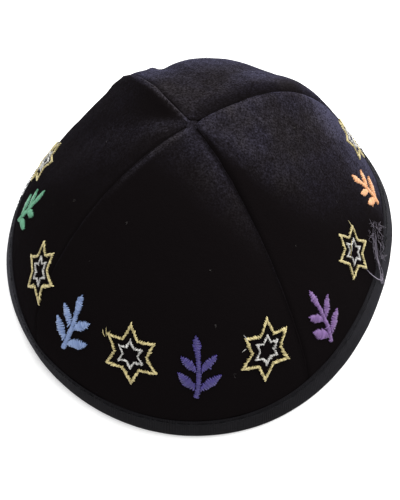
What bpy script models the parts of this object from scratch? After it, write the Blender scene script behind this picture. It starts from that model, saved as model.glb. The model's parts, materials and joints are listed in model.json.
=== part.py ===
"""A four-panel velvet skullcap with a taped rim and a ring of embroidered motifs, resting on its rim.

Metres, +Z up. The cap's box is centred on the origin and the underside of its rim is at z = 0.
Azimuths are in degrees: 0 is +X, 90 is the back (+Y), 270 is the front.
"""
import math

import bmesh
import bpy
import numpy as np
from mathutils import Vector

# Driving dimensions of the cap
RIM_RADIUS = 0.085      # mean radius at the rim, over the tape
CROWN_HEIGHT = 0.075    # from the resting plane to the crossing of the seams
CROWN_SHIFT = (-0.0036, 0.0004)    # how far the slumped crown lies off the rim's centre
PANEL_WALL = 0.0018     # velvet with its backing
SEAM_GAP = 0.0003       # clearance between neighbouring panels
TAPE_HEIGHT = 0.009     # how far the folded rim tape stands up the wall
TAPE_THICKNESS = 0.0007
TAPE_ROUND = 0.0004     # size of the tape's soft corners
FIT = 0.0003            # clearance between the tape and the panels it folds over

# Embroidery
STAR_RADIUS = 0.0123        # centre to vertex of the gold outline
STAR_THREAD = 0.0011        # width of the gold outline
STAR_NARROWING = 0.93       # a star's width against that of a regular one
INNER_STAR_RADIUS = 0.0062
INNER_STAR_THREAD = 0.0008
SPRIG_LENGTH = 0.025
STEM_WIDTH = 0.0022
STEM_BEND = 0.0012          # how far the stem's middle bows to one side
LEAF_LENGTH = 0.0088
LEAF_WIDTH = 0.0044
STITCH_HEIGHT = 0.0007      # how far the stitching stands up
STITCH_GAP = 0.0004         # clearance between the stitching and the velvet
MOTIF_RISE = 0.033          # along the wall, from the rim to the middle of a motif

# How finely the cloth is faceted
COLUMNS = 16      # across each panel
ROWS = 13         # up each panel
STAR_STEPS = 2    # along each of a gold star's twelve edges
PROFILE_STEPS = 24
NORMAL_REACH = 0.004    # a panel's direction is read over this far to each side
MERGE = 0.000001

# The rim isn't a circle: each row swells it by a share of its radius, lobes times round
RIM_WAVES = [
    # lobes, swell, azimuth of the first swell
    (2, 0.038, 56.5),
    (3, 0.030, 36.6),
    (4, 0.004, 38.0),
]

# The seams, by their azimuth at the rim and at the crown
SEAMS = {
    "back_right": (31.0, 39.0),
    "back_left": (127.0, 127.0),
    "front_left": (220.5, 211.0),
    "front_right": (300.0, 306.0),
}

# Meridian profiles as shares of the rim's radius and of the crown's height:
# wall_up: how steeply the wall leaves the rim
# wall_in: how far it leans in there
# crown_out: how broad the crown is
# crown_rise: how far the crown's shoulder stands above the crossing
PROFILES = {
    # wall_up, wall_in, crown_out, crown_rise
    "back_right": (0.347, 0.228, 0.717, 0.028),
    "back": (0.477, 0.018, 0.504, -0.004),
    "back_left": (0.457, 0.310, 0.727, 0.076),
    "left": (0.344, 0.131, 0.402, -0.002),
    "front_left": (0.459, 0.019, 0.473, -0.032),
    "front": (0.420, 0.050, 0.500, 0.0),
    "front_right": (0.334, 0.079, 0.334, -0.022),
    "right": (0.317, 0.149, 0.440, -0.001),
}

# Each panel lies between two seams, counted round with the azimuth
PANELS = {
    # panel: seam where it starts, seam where it ends
    "back": ("back_right", "back_left"),
    "left": ("back_left", "front_left"),
    "front": ("front_left", "front_right"),
    "right": ("front_right", "back_right"),
}
CREASE = 0.85    # how quickly a panel rounds out beside a seam: smaller is sharper

# Soft dents (negative) and swells of the slumped cloth, as a share of the rim's radius
FOLDS = [
    # azimuth, level from rim 0 to crown 1, height, half width in degrees, half width in level
    (106.4, 0.50, -0.019, 5.5, 0.18),
    (88.0, 0.50, 0.012, 13.0, 0.25),
    (63.3, 0.50, -0.031, 8.0, 0.20),
    (163.0, 0.45, -0.012, 13.0, 0.22),
]

# The ring of motifs: stars take turns with sprigs
MOTIFS = [
    # kind, azimuth, rise as a share of MOTIF_RISE, turn in degrees, thread
    ("sprig", 269.5, 1.05, 0.0, "indigo"),
    ("star", 290.0, 1.02, -16.0, None),
    ("sprig", 312.5, 0.86, 0.0, "violet"),
    ("star", 339.7, 0.92, 3.0, None),
    ("sprig", 7.5, 0.92, 0.0, "orange"),
    ("star", 27.5, 1.00, -26.0, None),
    ("sprig", 56.0, 0.67, 0.0, "green"),
    ("star", 73.0, 0.68, 0.0, None),
    ("sprig", 92.5, 0.72, 0.0, "indigo"),
    ("star", 112.0, 0.74, 0.0, None),
    ("sprig", 132.0, 0.74, 0.0, "violet"),
    ("star", 160.0, 0.87, -26.0, None),
    ("sprig", 181.0, 0.93, 0.0, "green"),
    ("star", 210.8, 1.10, -10.0, None),
    ("sprig", 231.0, 1.05, 0.0, "light_blue"),
    ("star", 250.8, 1.07, 8.0, None),
]

# The sprig's leaves along its stem
LEAVES = [
    # share of the stem, side (-1 left, 1 right), size, angle from the stem in degrees
    (0.26, 1, 1.00, 48.0),
    (0.26, -1, 1.00, 48.0),
    (0.68, 1, 0.90, 44.0),
    (0.68, -1, 0.90, 44.0),
]
STEM_SHARE = 0.70    # how much of the sprig is stem: the tip leaf takes the rest
STEM_PARTS = 7
# A leaf's half width at shares of its length
LEAF_SHAPE = [
    # along, half width
    (0.22, 0.40),
    (0.48, 0.50),
    (0.76, 0.36),
    (1.00, 0.06),
]

COLOURS = {
    # linear red, green, blue
    "velvet": (0.010, 0.009, 0.014),
    "tape": (0.022, 0.024, 0.032),
    "gold": (0.76, 0.58, 0.20),
    "silver": (0.58, 0.58, 0.60),
    "indigo": (0.080, 0.055, 0.360),
    "light_blue": (0.240, 0.350, 0.720),
    "violet": (0.220, 0.085, 0.420),
    "green": (0.120, 0.520, 0.300),
    "orange": (0.860, 0.360, 0.130),
}


def smooth(share):
    """An even slope from 0 to 1, level at both ends."""
    share = min(max(share, 0.0), 1.0)
    return share * share * (3 - 2 * share)


def turn(angle, base):
    """The angle from base to angle, from -180 to 180 degrees."""
    return (angle - base + 180) % 360 - 180


def rim_radius(azimuth):
    """The rim's radius in one direction, with its waves."""
    swell = sum(size * math.cos(math.radians(lobes * turn(azimuth, peak))) for lobes, size, peak in RIM_WAVES)
    return RIM_RADIUS * (1 + swell)


def seam_azimuth(seam, level):
    """Where a seam runs at a level from rim 0 to crown 1."""
    rim, crown = SEAMS[seam]
    return rim + (crown - rim) * level


def panel_span(panel, level):
    """A panel's first azimuth and its width in degrees, at a level."""
    start, end = (seam_azimuth(seam, level) for seam in PANELS[panel])
    return start, (end - start) % 360


def profile(azimuth, level):
    """The meridian's four shares at an azimuth: a crease at each seam, rounding out to the panel's middle."""
    for panel, (start_seam, end_seam) in PANELS.items():
        start, width = panel_span(panel, level)
        across = ((azimuth - start) % 360) / width
        if across <= 1:
            break
    bulge = math.sin(math.pi * across) ** CREASE
    side = smooth(across)
    return [
        (at_start * (1 - side) + at_end * side) * (1 - bulge) + middle * bulge
        for at_start, at_end, middle in zip(PROFILES[start_seam], PROFILES[end_seam], PROFILES[panel])
    ]


def raw_skin(azimuth, level):
    """A point on the cap's outer face, before the box is centred: a cubic meridian with the folds added."""
    wall_up, wall_in, crown_out, crown_rise = profile(azimuth, level)
    rim_part = (1 - level) ** 3
    wall_part = 3 * level * (1 - level) ** 2
    crown_part = 3 * level ** 2 * (1 - level)
    radius = rim_radius(azimuth) * (rim_part + wall_part * (1 - wall_in) + crown_part * crown_out)
    height = CROWN_HEIGHT * (wall_part * wall_up + crown_part * (1 + crown_rise) + level ** 3)
    tilt = math.hypot(1 - level, level)
    for fold, fold_level, depth, width, reach in FOLDS:
        fade = (turn(azimuth, fold) / width) ** 2 + ((level - fold_level) / reach) ** 2
        lift = depth * RIM_RADIUS * math.exp(-fade)
        radius += lift * (1 - level) / tilt
        height += lift * level / tilt
    angle = math.radians(azimuth)
    return Vector((
        radius * math.cos(angle) + CROWN_SHIFT[0] * level,
        radius * math.sin(angle) + CROWN_SHIFT[1] * level,
        height,
    ))


def box_centre():
    """The middle of the rim's box, in plan."""
    rim = [raw_skin(azimuth, 0) for azimuth in range(360)]
    return Vector([(min(p[axis] for p in rim) + max(p[axis] for p in rim)) / 2 for axis in (0, 1)] + [0])


CENTRE = box_centre()


def skin(azimuth, level):
    """A point on the cap's outer face."""
    return raw_skin(azimuth, level) - CENTRE


def level_at_height(azimuth, height):
    """The level where the wall reaches a height near the rim."""
    low, high = 0.0, 0.6
    for _ in range(24):
        middle = (low + high) / 2
        if skin(azimuth, middle).z < height:
            low = middle
        else:
            high = middle
    return (low + high) / 2


def level_at_arc(azimuth, arc):
    """The level that lies this far up the wall from the rim, measured along the cloth."""
    levels = np.linspace(0, 1, PROFILE_STEPS + 1)
    points = np.array([skin(azimuth, level) for level in levels])
    lengths = np.concatenate([[0], np.cumsum(np.linalg.norm(np.diff(points, axis=0), axis=1))])
    return float(np.interp(arc, lengths, levels))


def outwards(azimuth, level):
    """The cloth's outward direction: level at the taped rim, upright at the crown.

    It is read over a few millimetres to each side, so that two panels share it at their seam."""
    here = skin(azimuth, level)
    radius = math.hypot(here.x, here.y)
    aside = math.degrees(math.atan2(NORMAL_REACH, radius))
    above = min(level + 0.03, 0.97)
    below = max(min(level - 0.03, 0.91), 0)
    along = skin(azimuth + aside, level) - skin(azimuth - aside, level)
    normal = along.cross(skin(azimuth, above) - skin(azimuth, below)).normalized()
    flat = Vector((normal.x, normal.y, 0)).normalized()
    normal = flat.lerp(normal, smooth(here.z / TAPE_HEIGHT - 1))
    return normal.lerp(Vector((0, 0, 1)), smooth((level - 0.8) / 0.18)).normalized()


def tuck(height):
    """How far the tape presses the velvet in, fading out above it."""
    return (FIT + TAPE_THICKNESS) * (1 - smooth(height / TAPE_HEIGHT - 1))


def on_cloth(azimuth, level, rise):
    """A point that stands this far off the velvet's outer face."""
    here = skin(azimuth, level)
    return here + outwards(azimuth, level) * (rise - tuck(here.z))


def panel_azimuth(panel, across, level):
    """The azimuth at a share across a panel, clear of its seams by half the seam gap."""
    start, width = panel_span(panel, level)
    middle = skin(start + width / 2, level) - skin(start + width / 2, 1)
    clear = math.degrees(math.atan2(SEAM_GAP / 2, max(middle.to_2d().length, SEAM_GAP)))
    return start + clear + (width - 2 * clear) * across


def grid(columns, rows, place):
    """An open sheet of faces laid out by place(across, up), both from 0 to 1, with matching edges merged."""
    mesh = bmesh.new()
    bmesh.ops.create_grid(mesh, x_segments=columns, y_segments=rows, size=0.5)
    for point in mesh.verts:
        point.co = place(point.co.x + 0.5, point.co.y + 0.5)
    bmesh.ops.remove_doubles(mesh, verts=mesh.verts, dist=MERGE)
    return mesh


def thicken(mesh, depth):
    """Turn a flat sheet at z = 0 into a slab from z = 0 to depth."""
    extra = bmesh.ops.extrude_face_region(mesh, geom=mesh.faces[:], use_keep_orig=True)
    for item in extra["geom"]:
        if isinstance(item, bmesh.types.BMVert):
            item.co.z = depth


def form(mesh, place):
    """Move each point of a slab to its place on the cap, and turn all faces outwards."""
    for point in mesh.verts:
        point.co = place(point.co)
    bmesh.ops.remove_doubles(mesh, verts=mesh.verts, dist=MERGE)
    bmesh.ops.recalc_face_normals(mesh, faces=mesh.faces)


def material(name, roughness, sheen=0.0):
    """The material of one kind of cloth or thread."""
    finish = bpy.data.materials.new(name)
    finish.use_nodes = True
    shader = finish.node_tree.nodes["Principled BSDF"]
    shader.inputs["Base Color"].default_value = (*COLOURS[name], 1)
    shader.inputs["Roughness"].default_value = roughness
    shader.inputs["Metallic"].default_value = 0.0
    shader.inputs["Sheen Weight"].default_value = sheen
    finish.diffuse_color = (*COLOURS[name], 1)
    return finish


def keep(name, mesh, finish, collection):
    """Make a named object of a finished mesh."""
    data = bpy.data.meshes.new(name)
    mesh.to_mesh(data)
    mesh.free()
    data.shade_smooth()
    data.set_sharp_from_angle(angle=math.radians(35))
    data.materials.append(finish)
    piece = bpy.data.objects.new(name, data)
    collection.objects.link(piece)
    return piece


# The panels' rows under the tape: the hem, and the heights where the tape has points too
TAPED_ROWS = (TAPE_THICKNESS + FIT, TAPE_HEIGHT / 2, TAPE_HEIGHT)


def panel_mesh(panel):
    """One gore of the crown: a slab cut flat, then formed to the cap."""
    def place(point):
        across, up, depth = point
        if up > 1 - MERGE:
            start, width = panel_span(panel, 1)
            middle = math.radians(start + width / 2)
            tip = skin(0, 1) + SEAM_GAP * Vector((math.cos(middle), math.sin(middle), 0))
            return tip - Vector((0, 0, depth))
        start, width = panel_span(panel, 0)
        rough = start + width * across
        row = round(up * ROWS)
        if row < len(TAPED_ROWS):
            level = level_at_height(rough, TAPED_ROWS[row])
        else:
            tape_top = level_at_height(rough, TAPE_HEIGHT)
            above = (row + 1 - len(TAPED_ROWS)) / (ROWS + 1 - len(TAPED_ROWS))
            level = tape_top + (1 - tape_top) * above
        return on_cloth(panel_azimuth(panel, across, level), level, -depth)

    mesh = grid(COLUMNS, ROWS, lambda across, up: (across, up, 0))
    thicken(mesh, PANEL_WALL)
    form(mesh, place)
    return mesh


def tape_section():
    """The folded tape's closed section: heights, and depths inwards from its outer face."""
    outer_leg = TAPE_THICKNESS
    inner_leg = TAPE_THICKNESS + 2 * FIT + PANEL_WALL
    inside = inner_leg + TAPE_THICKNESS
    return [
        # height, depth
        (TAPE_HEIGHT, outer_leg),
        (TAPE_HEIGHT, TAPE_ROUND),
        (TAPE_HEIGHT - TAPE_ROUND, 0),
        (TAPE_HEIGHT / 2, 0),
        (TAPE_ROUND, 0),
        (0, TAPE_ROUND),
        (0, inside - TAPE_ROUND),
        (TAPE_ROUND, inside),
        (TAPE_HEIGHT / 2, inside),
        (TAPE_HEIGHT - TAPE_ROUND, inside),
        (TAPE_HEIGHT, inside - TAPE_ROUND),
        (TAPE_HEIGHT, inner_leg),
        (TAPE_HEIGHT / 2, inner_leg),
        (TAPE_THICKNESS, inner_leg),
        (TAPE_THICKNESS, outer_leg),
        (TAPE_HEIGHT / 2, outer_leg),
    ]


def tape_mesh():
    """The tape folded over the panels' lower edge, all round the rim."""
    section = tape_section()
    names = list(PANELS)
    around = COLUMNS * len(names)

    def place(across, up):
        column = round(across * around) % around
        panel = names[column // COLUMNS]
        height, depth = section[round(up * len(section)) % len(section)]
        start, width = panel_span(panel, 0)
        azimuth = start + width * (column % COLUMNS) / COLUMNS
        level = level_at_height(azimuth, height)
        here = skin(azimuth, level)
        direction = outwards(azimuth, level).to_2d().normalized().to_3d()
        return Vector((here.x, here.y, height)) - direction * depth

    mesh = grid(around, len(section), place)
    bmesh.ops.recalc_face_normals(mesh, faces=mesh.faces)
    return mesh


def star_ribbon(radius, thread, steps):
    """The outline of a six-pointed star, as a flat ribbon of even width."""
    corners = 12
    outer_to_inner = 1 / math.sqrt(3)

    def corner(index, size):
        reach = size * (1 if index % 2 == 0 else outer_to_inner)
        angle = math.pi / 2 + math.tau * index / corners
        return Vector((STAR_NARROWING * reach * math.cos(angle), reach * math.sin(angle), 0))

    def place(across, up):
        step = round(across * corners * steps) % (corners * steps)
        size = radius - 2 * thread * up
        return corner(step // steps, size).lerp(corner(step // steps + 1, size), step % steps / steps)

    return grid(corners * steps, 1, place)


def stem_point(share):
    """A point on the middle of the sprig's stem, and the stem's direction there."""
    bow = math.sin(math.pi * share) * STEM_BEND
    slope = math.pi * math.cos(math.pi * share) * STEM_BEND / SPRIG_LENGTH
    direction = Vector((slope, 1, 0)).normalized()
    return Vector((bow - STEM_BEND / 2, (share - 0.5) * SPRIG_LENGTH, 0)), direction


def grow(mesh, edge, start, direction, size):
    """Extrude an edge into a pointed leaf."""
    side = Vector((direction.y, -direction.x, 0))
    for along, half_width in LEAF_SHAPE:
        grown = bmesh.ops.extrude_edge_only(mesh, edges=[edge])["geom"]
        edge = next(item for item in grown if isinstance(item, bmesh.types.BMEdge))
        first, second = sorted(edge.verts, key=lambda point: point.co.dot(side))
        middle = start + direction * LEAF_LENGTH * size * along
        first.co = middle - side * LEAF_WIDTH * size * half_width
        second.co = middle + side * LEAF_WIDTH * size * half_width


def sprig():
    """A bowed stem with two pairs of leaves and one at its tip, as one flat sheet."""
    def place(across, up):
        middle, direction = stem_point(up * STEM_SHARE)
        side = Vector((direction.y, -direction.x, 0))
        return middle + side * (across - 0.5) * STEM_WIDTH

    mesh = grid(1, STEM_PARTS, place)
    mesh.edges.ensure_lookup_table()
    stem_edges = list(mesh.edges)
    for share, hand, size, angle in LEAVES:
        middle, direction = stem_point(share * STEM_SHARE)
        side = Vector((direction.y, -direction.x, 0)) * hand
        root = middle + side * STEM_WIDTH / 2
        edge = min(
            (e for e in stem_edges if len(e.link_faces) == 1),
            key=lambda e: ((e.verts[0].co + e.verts[1].co) / 2 - root).length,
        )
        lean = math.radians(angle)
        way = direction * math.cos(lean) + side * math.sin(lean)
        grow(mesh, edge, (edge.verts[0].co + edge.verts[1].co) / 2, way, size)
        stem_edges.remove(edge)
    top, way = stem_point(STEM_SHARE)
    tip = max(stem_edges, key=lambda e: e.verts[0].co.y + e.verts[1].co.y)
    grow(mesh, tip, top, way, SPRIG_LENGTH * (1 - STEM_SHARE) / LEAF_LENGTH)
    return mesh


def drape(mesh, azimuth, rise, spin):
    """Lay a flat motif on the velvet, its middle at this azimuth and this far up the wall."""
    level = level_at_arc(azimuth, rise)
    radius = (skin(azimuth, level) - skin(azimuth, 1)).to_2d().length
    turned = math.radians(spin)

    def place(point):
        x = point.x * math.cos(turned) - point.y * math.sin(turned)
        y = point.x * math.sin(turned) + point.y * math.cos(turned)
        direction = azimuth + math.degrees(x / radius)
        return on_cloth(direction, level_at_arc(direction, rise + y), STITCH_GAP + point.z)

    thicken(mesh, STITCH_HEIGHT)
    form(mesh, place)
    return mesh


def build():
    """Make every piece of the cap."""
    for old in list(bpy.data.objects):
        bpy.data.objects.remove(old)
    collection = bpy.data.collections.new("skullcap")
    bpy.context.scene.collection.children.link(collection)
    finishes = {name: material(name, 0.55) for name in COLOURS if name not in ("velvet", "tape")}
    velvet = material("velvet", 0.95, sheen=0.5)
    tape = material("tape", 0.8, sheen=0.2)

    for panel in PANELS:
        keep(f"{panel}_panel", panel_mesh(panel), velvet, collection)
    keep("rim_binding", tape_mesh(), tape, collection)

    counts = {"star": 0, "sprig": 0}
    for kind, azimuth, share, spin, thread in MOTIFS:
        counts[kind] += 1
        name = f"{kind}_{counts[kind]}"
        rise = share * MOTIF_RISE
        if kind == "sprig":
            keep(name, drape(sprig(), azimuth, rise, spin), finishes[thread], collection)
            continue
        outline = star_ribbon(STAR_RADIUS, STAR_THREAD, STAR_STEPS)
        keep(f"{name}_outline", drape(outline, azimuth, rise, spin), finishes["gold"], collection)
        centre = star_ribbon(INNER_STAR_RADIUS, INNER_STAR_THREAD, 1)
        keep(f"{name}_centre", drape(centre, azimuth, rise, spin), finishes["silver"], collection)


build()
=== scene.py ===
# %% [markdown]
# # A velvet skullcap with embroidered stars and sprigs
# The cap is a soft dome of four velvet panels. Their seams cross at the crown, a ribbed tape is folded
# over the rim, and a ring of motifs is embroidered round the wall. The solids made in CAD give every
# piece its place. This lesson dresses them: it refines the cloth, sews the edges and lays the threads.

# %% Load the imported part
import json
import math

import bmesh
import bpy
import numpy as np
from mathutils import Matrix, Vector
from mathutils import noise as wander
from mathutils.bvhtree import BVHTree
from mathutils.kdtree import KDTree


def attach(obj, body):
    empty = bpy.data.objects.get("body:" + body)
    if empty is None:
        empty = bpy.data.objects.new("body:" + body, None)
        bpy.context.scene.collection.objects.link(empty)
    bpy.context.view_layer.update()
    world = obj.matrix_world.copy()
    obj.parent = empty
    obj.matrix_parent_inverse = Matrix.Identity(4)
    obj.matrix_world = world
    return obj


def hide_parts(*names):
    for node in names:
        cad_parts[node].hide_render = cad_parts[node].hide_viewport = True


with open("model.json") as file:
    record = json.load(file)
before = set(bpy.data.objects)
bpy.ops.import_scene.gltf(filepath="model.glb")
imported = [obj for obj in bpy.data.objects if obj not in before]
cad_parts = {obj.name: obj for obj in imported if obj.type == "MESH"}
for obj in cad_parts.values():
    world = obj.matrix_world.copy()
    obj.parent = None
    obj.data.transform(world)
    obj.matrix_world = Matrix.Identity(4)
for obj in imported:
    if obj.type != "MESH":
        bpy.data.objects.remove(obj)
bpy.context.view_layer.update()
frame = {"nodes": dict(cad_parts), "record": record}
MM = 0.001
PANEL_NAMES = ["front_panel", "right_panel", "back_panel", "left_panel"]
print("pieces in the frame:", len(frame["nodes"]))

# %% [markdown]
# ## The camera
# The cap was photographed from above its front edge. The lens is long, so the rim is hardly bent by
# perspective. The small shift puts the cap where it stands in the photo's frame, without turning it.

# %% Camera
AIM = Vector((0.0002, 0.0022, 0.0005))
CAMERA_ELEVATION = math.radians(56.43)
CAMERA_DISTANCE = 0.3666
SENSOR = 36.0
LENS = 61.13
FRAME_SHIFT = (-0.0043, -0.0197)

away = Vector((0, -math.cos(CAMERA_ELEVATION), math.sin(CAMERA_ELEVATION)))
bpy.ops.object.camera_add(
    location=AIM + away * CAMERA_DISTANCE,
    rotation=(math.pi / 2 - CAMERA_ELEVATION, 0, 0),
)
camera = bpy.context.object
camera.name = "camera"
camera.data.sensor_width = SENSOR
camera.data.lens = LENS
camera.data.shift_x, camera.data.shift_y = FRAME_SHIFT
camera.data.clip_start = 0.01
bpy.context.scene.camera = camera
print("camera stands", round(camera.location.z / MM), "mm above the floor")

# %% [markdown]
# ## Floor and light
# Black velvet on a white ground needs soft light from all round. A bright sky does most of it, one wide
# lamp overhead gives the threads their shine, and a lower one behind adds a little real sheen to the pile,
# whose bloom is painted sheen.

# %% Floor, sky and lamps
FLOOR_SIZE = 6.0
FLOOR_DROP = 0.0002       # keeps the floor just clear of the rim
PAPER_WHITE = (0.93, 0.93, 0.93, 1)
PAPER_GLOW = 0.24
SKY_STRENGTH = 0.75
LAMP_AIM = Vector((0, 0, 0.03))

bpy.ops.mesh.primitive_plane_add(size=FLOOR_SIZE, location=(0, 0, -FLOOR_DROP))
floor = bpy.context.object
floor.name = "floor"
paper = bpy.data.materials.new("white_paper")
paper.use_nodes = True
paper_shader = paper.node_tree.nodes["Principled BSDF"]
paper_shader.inputs["Base Color"].default_value = PAPER_WHITE
paper_shader.inputs["Roughness"].default_value = 0.9
paper_shader.inputs["Specular IOR Level"].default_value = 0.1
paper_shader.inputs["Emission Color"].default_value = (1, 1, 1, 1)
paper_shader.inputs["Emission Strength"].default_value = PAPER_GLOW
floor.data.materials.append(paper)

sky = bpy.data.worlds.new("soft_sky")
sky.use_nodes = True
sky.node_tree.nodes["Background"].inputs["Color"].default_value = (1, 1, 1, 1)
sky.node_tree.nodes["Background"].inputs["Strength"].default_value = SKY_STRENGTH
bpy.context.scene.world = sky
bpy.context.scene.view_settings.view_transform = "Standard"

LAMPS = [
    # name, place, size, power
    ("lamp_overhead", (0.22, 0.25, 1.0), 0.7, 9.0),
    ("lamp_behind", (0.45, 0.75, 0.50), 0.5, 5.0),
]
for name, place, size, power in LAMPS:
    bpy.ops.object.light_add(type="AREA", location=place)
    lamp = bpy.context.object
    lamp.name = name
    lamp.data.shape = "DISK"
    lamp.data.size = size
    lamp.data.energy = power
    lamp.rotation_euler = (LAMP_AIM - Vector(place)).to_track_quat("-Z", "Y").to_euler()
print("lamps:", len(LAMPS))

# %% [markdown]
# ## Working on a copy of a CAD piece
# A CAD piece comes in as loose triangles and mustn't be changed. A copy is merged, and its triangles are
# paired into four-sided faces, because a subdivision surface flows evenly only over those.

# %% Helpers for copies
MERGE = 0.000002


def only(piece):
    """Select one piece and make it the active one."""
    if bpy.context.mode != "OBJECT":
        bpy.ops.object.mode_set(mode="OBJECT")
    bpy.ops.object.select_all(action="DESELECT")
    piece.select_set(True)
    bpy.context.view_layer.objects.active = piece


def merged_copy(node, name):
    """A copy of a CAD piece with its doubles merged and its triangles paired."""
    piece = frame["nodes"][node].copy()
    piece.data = frame["nodes"][node].data.copy()
    piece.name = name
    piece.data.name = name
    bpy.context.collection.objects.link(piece)
    only(piece)
    bpy.ops.object.mode_set(mode="EDIT")
    bpy.ops.mesh.select_all(action="SELECT")
    bpy.ops.mesh.remove_doubles(threshold=MERGE)
    bpy.ops.mesh.tris_convert_to_quads(face_threshold=math.radians(70), shape_threshold=math.radians(100))
    bpy.ops.mesh.select_all(action="DESELECT")
    bpy.ops.object.mode_set(mode="OBJECT")
    piece.data.materials.clear()
    return piece


def smooth_levels(piece, levels):
    """Add a subdivision surface and apply it."""
    only(piece)
    step = piece.modifiers.new("soft", "SUBSURF")
    step.levels = step.render_levels = levels
    bpy.ops.object.modifier_apply(modifier=step.name)


def crease_borders(piece, amount):
    """Give the sharp borders of a piece this crease: 1 keeps them sharp in a subdivision, 0 lets go."""
    only(piece)
    bpy.ops.object.mode_set(mode="EDIT")
    bpy.ops.mesh.select_mode(type="EDGE")
    bpy.ops.mesh.select_all(action="DESELECT")
    bpy.ops.mesh.edges_select_sharp(sharpness=math.radians(45))
    bpy.ops.transform.edge_crease(value=amount)
    bpy.ops.mesh.select_all(action="DESELECT")
    bpy.ops.object.mode_set(mode="OBJECT")


def finish_piece(piece, slot, *nodes):
    """Hang a finished piece on the cap's body, hide the CAD pieces it stands for and shade it smooth."""
    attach(piece, "root")
    if nodes:
        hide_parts(*nodes)
    only(piece)
    bpy.ops.object.shade_smooth()


# %% [markdown]
# ## Node helpers
# Every finish below is a small tree of nodes. These helpers add a node, set its sockets and join it up,
# so that each material reads as a list of what it is made of.

# %% Node helpers


def plug(tree, source, target):
    """Join two sockets."""
    tree.links.new(source, target)


def new_group(name, inputs, outputs):
    """A shader node group with named number inputs and outputs."""
    group = bpy.data.node_groups.new(name, "ShaderNodeTree")
    for label, value in inputs:
        socket = group.interface.new_socket(label, in_out="INPUT", socket_type="NodeSocketFloat")
        socket.default_value = value
    for label in outputs:
        group.interface.new_socket(label, in_out="OUTPUT", socket_type="NodeSocketFloat")
    return group, group.nodes.new("NodeGroupInput"), group.nodes.new("NodeGroupOutput")


def noise(tree, scale, detail=3.0, roughness=0.55, shift=(0, 0, 0)):
    """Noise on the piece's own coordinates in metres; the scale is in features per metre."""
    place = tree.nodes.new("ShaderNodeTexCoord")
    mapping = tree.nodes.new("ShaderNodeMapping")
    mapping.inputs["Location"].default_value = shift
    texture = tree.nodes.new("ShaderNodeTexNoise")
    texture.inputs["Scale"].default_value = scale
    texture.inputs["Detail"].default_value = detail
    texture.inputs["Roughness"].default_value = roughness
    plug(tree, place.outputs["Object"], mapping.inputs["Vector"])
    plug(tree, mapping.outputs["Vector"], texture.inputs["Vector"])
    return texture.outputs["Fac"]


def spread(tree, source, low, high, to_low=0.0, to_high=1.0):
    """Stretch a value from one range to another, held at both ends."""
    node = tree.nodes.new("ShaderNodeMapRange")
    node.inputs["From Min"].default_value = low
    node.inputs["From Max"].default_value = high
    node.inputs["To Min"].default_value = to_low
    node.inputs["To Max"].default_value = to_high
    plug(tree, source, node.inputs["Value"])
    return node.outputs["Result"]


def combine(tree, operation, first, second):
    """A sum, product or other arithmetic of two values, each a socket or a number."""
    node = tree.nodes.new("ShaderNodeMath")
    node.operation = operation
    for socket, value in zip(node.inputs, (first, second)):
        if isinstance(value, (int, float)):
            socket.default_value = value
        else:
            plug(tree, value, socket)
    return node.outputs["Value"]


def weighted(tree, first, first_share, second, second_share):
    """The sum of two values, each by its share."""
    return combine(tree, "ADD", combine(tree, "MULTIPLY", first, first_share),
                   combine(tree, "MULTIPLY", second, second_share))


def blend_colours(tree, share, first, second):
    """Mix two colours by the share in a socket; each colour is a socket or red, green, blue."""
    node = tree.nodes.new("ShaderNodeMix")
    node.data_type = "RGBA"
    plug(tree, share, node.inputs[0])
    for socket, colour in ((node.inputs[6], first), (node.inputs[7], second)):
        if isinstance(colour, tuple):
            socket.default_value = (*colour, 1)
        else:
            plug(tree, colour, socket)
    return node.outputs[2]


def painted(tree, name):
    """A value kept on the mesh as an attribute."""
    node = tree.nodes.new("ShaderNodeAttribute")
    node.attribute_name = name
    return node.outputs["Fac"]


def raised(tree, shader, height, depth, strength=1.0):
    """Relief from a height of 0 to 1, this deep in metres."""
    bump = tree.nodes.new("ShaderNodeBump")
    bump.inputs["Distance"].default_value = depth
    bump.inputs["Strength"].default_value = strength
    plug(tree, height, bump.inputs["Height"])
    plug(tree, bump.outputs["Normal"], shader.inputs["Normal"])


def placed(tree, group):
    """A node group placed in a material."""
    node = tree.nodes.new("ShaderNodeGroup")
    node.node_tree = group
    return node


def new_finish(name):
    """A material with its Principled shader."""
    finish = bpy.data.materials.new(name)
    finish.use_nodes = True
    return finish, finish.node_tree, finish.node_tree.nodes["Principled BSDF"]


# %% [markdown]
# ## The pile's grain
# Velvet is a field of short upright fibres. They part and lean in patches where fingers brushed them, and
# each patch sends back a little more or less light. Noises at three scales stand for the wide patches,
# the small ones and the single fibres. A group keeps them together, with the patches' strength to set.

# %% Group: pile grain
pile_grain, pile_in, pile_out = new_group(
    "pile_grain", [("Patch", 1.0)], ["Patches", "Grain", "Height"]
)
wide_patches = noise(pile_grain, 70.0, detail=4.0, roughness=0.6)
small_patches = noise(pile_grain, 330.0, detail=3.0, roughness=0.65)
fibres = noise(pile_grain, 1300.0, detail=3.0, roughness=0.75)
both = weighted(pile_grain, wide_patches, 0.45, small_patches, 0.55)
patches = combine(pile_grain, "MULTIPLY", spread(pile_grain, both, 0.36, 0.64), pile_in.outputs["Patch"])
plug(pile_grain, patches, pile_out.inputs["Patches"])
plug(pile_grain, spread(pile_grain, fibres, 0.34, 0.66), pile_out.inputs["Grain"])
plug(pile_grain, weighted(pile_grain, small_patches, 0.6, fibres, 0.4), pile_out.inputs["Height"])
print("group", pile_grain.name, "has", len(pile_grain.nodes), "nodes")
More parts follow.
